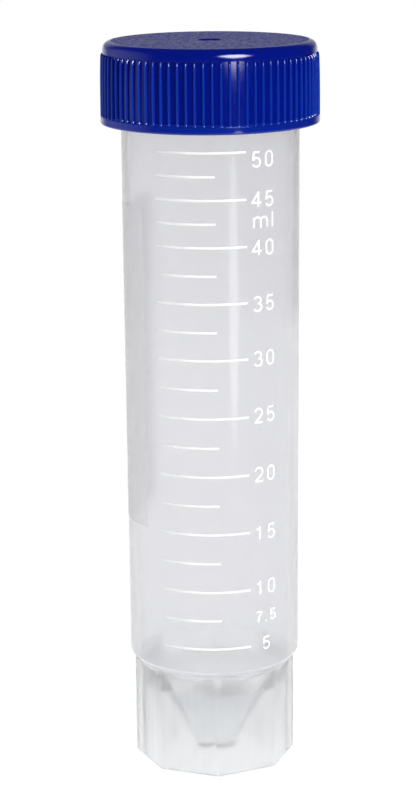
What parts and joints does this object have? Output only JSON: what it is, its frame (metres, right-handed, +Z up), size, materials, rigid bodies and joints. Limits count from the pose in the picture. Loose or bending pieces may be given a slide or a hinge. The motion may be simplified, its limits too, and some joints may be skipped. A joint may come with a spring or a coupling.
{
  "type": "conical centrifuge tube",
  "caption": "Clear conical centrifuge tube that stands on its own faceted skirt, with printed graduations, a writing panel and a ribbed blue screw cap.",
  "frame": {"origin": "middle of the plane that the skirt stands on, on the tube's axis", "axes": "+Z up along the tube's axis, -Y the side that the graduations face, +X to their right"},
  "size_m": [0.0346, 0.0346, 0.118],
  "materials": {
    "tube_polypropylene": "clear natural polypropylene, moulded, slightly hazy",
    "cap_polyethylene": "royal blue high density polyethylene, grained top, glossy ribs and shoulder",
    "seal_foam": "white foamed polyethylene liner",
    "print_ink": "white screen-printed ink",
    "panel_ink": "thin matte white ink for writing on"
  },
  "bodies": {
    "tube": {"tube": "tube_polypropylene", "graduation_lines": "print_ink", "writing_panel": "panel_ink"},
    "seal": {"cap_seal": "seal_foam"},
    "cap": {"screw_cap": "cap_polyethylene"}
  },
  "joints": [
    {"name": "cap_lift", "type": "slide", "parent": "tube", "child": "seal", "axis": [0, 0, 1], "range_m": [0, 0.01281]},
    {"name": "cap_turn", "type": "hinge", "parent": "seal", "child": "cap", "pos_m": [0, 0, 0.11], "axis": [0, 0, 1], "range_deg": [0, 1440]}
  ],
  "couplings": [
    {"joint": "cap_lift", "follows": "cap_turn", "m_per_rad": 0.0005093}
  ]
}
